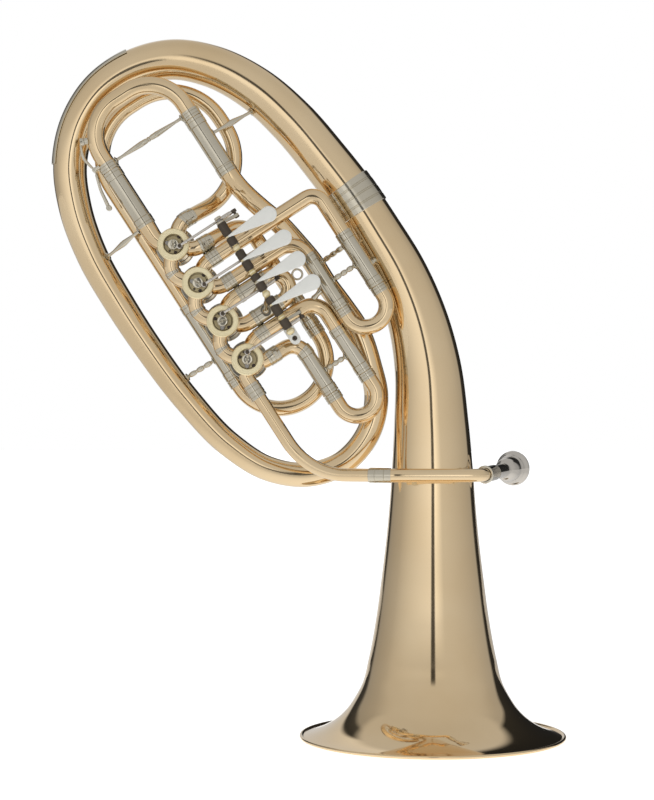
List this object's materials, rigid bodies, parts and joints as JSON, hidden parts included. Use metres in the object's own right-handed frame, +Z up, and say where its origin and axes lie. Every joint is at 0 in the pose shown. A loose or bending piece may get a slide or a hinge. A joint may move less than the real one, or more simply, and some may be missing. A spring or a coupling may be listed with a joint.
{
  "type": "alto horn",
  "caption": "Oval alto horn standing on its bell, with rotary valves worked by levers and push rods, a pulled tuning slide and a removable mouthpiece.",
  "frame": {"origin": "centre of the bounding box, at the height of the bell rim's resting plane", "axes": "+Z up along the bell axis, -Y towards the valve caps and levers, +X towards the bell side, the oval lies in the XZ plane"},
  "size_m": [0.3958, 0.205, 0.537],
  "materials": {
    "gold_brass": "polished and lacquered",
    "nickel_silver": "polished nickel silver",
    "cap_brass": "brushed and lacquered",
    "satin_nickel": "satin plate",
    "silver_plate": "polished silver plate"
  },
  "bodies": {
    "horn": {"bell": "gold_brass", "bell_ferrule": "nickel_silver", "outer_branch": "gold_brass", "bottom_bow": "gold_brass", "bow_guard": "nickel_silver", "inner_branch": "gold_brass", "main_sleeve_left": "nickel_silver", "main_sleeve_right": "nickel_silver", "first_upper_branch": "nickel_silver", "first_lower_branch": "nickel_silver", "second_upper_sleeve": "nickel_silver", "second_lower_sleeve": "nickel_silver", "third_upper_branch": "nickel_silver", "third_lower_branch": "nickel_silver", "fourth_upper_branch": "nickel_silver", "fourth_lower_branch": "nickel_silver", "leadpipe": "gold_brass", "mouthpiece_receiver": "nickel_silver", "valve_casing_4": "gold_brass", "valve_casing_3": "gold_brass", "valve_casing_2": "gold_brass", "valve_casing_1": "gold_brass", "valve_cap_4": "cap_brass", "valve_cap_3": "cap_brass", "valve_cap_2": "cap_brass", "valve_cap_1": "cap_brass", "knuckle_4_3": "gold_brass", "knuckle_3_2": "gold_brass", "knuckle_2_1": "gold_brass", "lever_rack": "nickel_silver", "main_bow_brace": "nickel_silver", "main_side_brace": "nickel_silver", "fourth_side_brace": "nickel_silver", "third_bell_brace": "nickel_silver", "inner_third_brace": "nickel_silver", "third_slide_brace": "nickel_silver", "first_third_brace": "nickel_silver", "leadpipe_brace": "nickel_silver", "first_slide_brace": "nickel_silver"},
    "main_slide": {"main_tuning_slide": "gold_brass", "main_slide_brace": "nickel_silver"},
    "water_key": {"water_key": "nickel_silver"},
    "slide_1": {"slide_1": "gold_brass"},
    "rotor_1": {"rotor_1": "nickel_silver"},
    "lever_1": {"lever_1": "satin_nickel"},
    "rod_1": {"rod_1": "nickel_silver"},
    "slide_2": {"slide_2": "gold_brass"},
    "rotor_2": {"rotor_2": "nickel_silver"},
    "lever_2": {"lever_2": "satin_nickel"},
    "rod_2": {"rod_2": "nickel_silver"},
    "slide_3": {"slide_3": "gold_brass"},
    "rotor_3": {"rotor_3": "nickel_silver"},
    "lever_3": {"lever_3": "satin_nickel"},
    "rod_3": {"rod_3": "nickel_silver"},
    "slide_4": {"slide_4": "gold_brass"},
    "rotor_4": {"rotor_4": "nickel_silver"},
    "lever_4": {"lever_4": "satin_nickel"},
    "rod_4": {"rod_4": "nickel_silver"},
    "mouthpiece": {"mouthpiece": "silver_plate"}
  },
  "joints": [
    {"name": "main_slide_pull", "type": "slide", "parent": "horn", "child": "main_slide", "axis": [-0.5417, 0, 0.8406], "range_m": [0, 0.04]},
    {"name": "slide_1_pull", "type": "slide", "parent": "horn", "child": "slide_1", "axis": [0.5417, 0, -0.8406], "range_m": [0, 0.025]},
    {"name": "slide_2_pull", "type": "slide", "parent": "horn", "child": "slide_2", "axis": [0.8406, 0, 0.5417], "range_m": [0, 0.003]},
    {"name": "slide_3_pull", "type": "slide", "parent": "horn", "child": "slide_3", "axis": [0.5417, 0, -0.8406], "range_m": [0, 0.012]},
    {"name": "slide_4_pull", "type": "slide", "parent": "horn", "child": "slide_4", "axis": [0.5417, 0, -0.8406], "range_m": [0, 0.02]},
    {"name": "mouthpiece_pull", "type": "slide", "parent": "horn", "child": "mouthpiece", "axis": [0.4063, 0.9127, 0.0436], "range_m": [0, 0.03]},
    {"name": "water_key_hinge", "type": "hinge", "parent": "main_slide", "child": "water_key", "pos_m": [-0.16149, -0.026, 0.43336], "axis": [0, -1, 0], "range_deg": [0, 10], "stiffness_Nm_per_rad": 0.02, "springref_deg": -34.38},
    {"name": "lever_4_press", "type": "hinge", "parent": "horn", "child": "lever_4", "pos_m": [-0.06877, -0.059, 0.39711], "axis": [-0.5417, 0, 0.8406], "range_deg": [0, 26], "stiffness_Nm_per_rad": 0.04, "springref_deg": -34.38},
    {"name": "rotor_4_turn", "type": "hinge", "parent": "horn", "child": "rotor_4", "pos_m": [-0.10121, -0.026, 0.3762], "axis": [0, 1, 0], "range_deg": [0, 90]},
    {"name": "rod_4_swing", "type": "hinge", "parent": "lever_4", "child": "rod_4", "pos_m": [-0.05578, -0.0448, 0.40096], "axis": [-0.5417, 0, 0.8406], "range_deg": [-21, 0]},
    {"name": "lever_3_press", "type": "hinge", "parent": "horn", "child": "lever_3", "pos_m": [-0.05024, -0.059, 0.36836], "axis": [-0.5417, 0, 0.8406], "range_deg": [0, 26], "stiffness_Nm_per_rad": 0.04, "springref_deg": -34.38},
    {"name": "rotor_3_turn", "type": "hinge", "parent": "horn", "child": "rotor_3", "pos_m": [-0.08269, -0.026, 0.34745], "axis": [0, 1, 0], "range_deg": [0, 90]},
    {"name": "rod_3_swing", "type": "hinge", "parent": "lever_3", "child": "rod_3", "pos_m": [-0.03726, -0.0448, 0.37221], "axis": [-0.5417, 0, 0.8406], "range_deg": [-21, 0]},
    {"name": "lever_2_press", "type": "hinge", "parent": "horn", "child": "lever_2", "pos_m": [-0.03172, -0.059, 0.33962], "axis": [-0.5417, 0, 0.8406], "range_deg": [0, 26], "stiffness_Nm_per_rad": 0.04, "springref_deg": -34.38},
    {"name": "rotor_2_turn", "type": "hinge", "parent": "horn", "child": "rotor_2", "pos_m": [-0.06416, -0.026, 0.31871], "axis": [0, -1, 0], "range_deg": [0, 90]},
    {"name": "rod_2_swing", "type": "hinge", "parent": "lever_2", "child": "rod_2", "pos_m": [-0.02323, -0.0448, 0.35044], "axis": [-0.5417, 0, 0.8406], "range_deg": [-21, 0]},
    {"name": "lever_1_press", "type": "hinge", "parent": "horn", "child": "lever_1", "pos_m": [-0.01319, -0.059, 0.31087], "axis": [-0.5417, 0, 0.8406], "range_deg": [0, 26], "stiffness_Nm_per_rad": 0.04, "springref_deg": -34.38},
    {"name": "rotor_1_turn", "type": "hinge", "parent": "horn", "child": "rotor_1", "pos_m": [-0.04564, -0.026, 0.28996], "axis": [0, -1, 0], "range_deg": [0, 90]},
    {"name": "rod_1_swing", "type": "hinge", "parent": "lever_1", "child": "rod_1", "pos_m": [-0.0047, -0.0448, 0.32169], "axis": [-0.5417, 0, 0.8406], "range_deg": [-21, 0]}
  ],
  "couplings": [
    {"joint": "rotor_4_turn", "follows": "lever_4_press", "ratio": 3.4615},
    {"joint": "rod_4_swing", "follows": "lever_4_press", "ratio": -0.79},
    {"joint": "rotor_3_turn", "follows": "lever_3_press", "ratio": 3.4615},
    {"joint": "rod_3_swing", "follows": "lever_3_press", "ratio": -0.79},
    {"joint": "rotor_2_turn", "follows": "lever_2_press", "ratio": 3.4615},
    {"joint": "rod_2_swing", "follows": "lever_2_press", "ratio": -0.79},
    {"joint": "rotor_1_turn", "follows": "lever_1_press", "ratio": 3.4615},
    {"joint": "rod_1_swing", "follows": "lever_1_press", "ratio": -0.79}
  ]
}
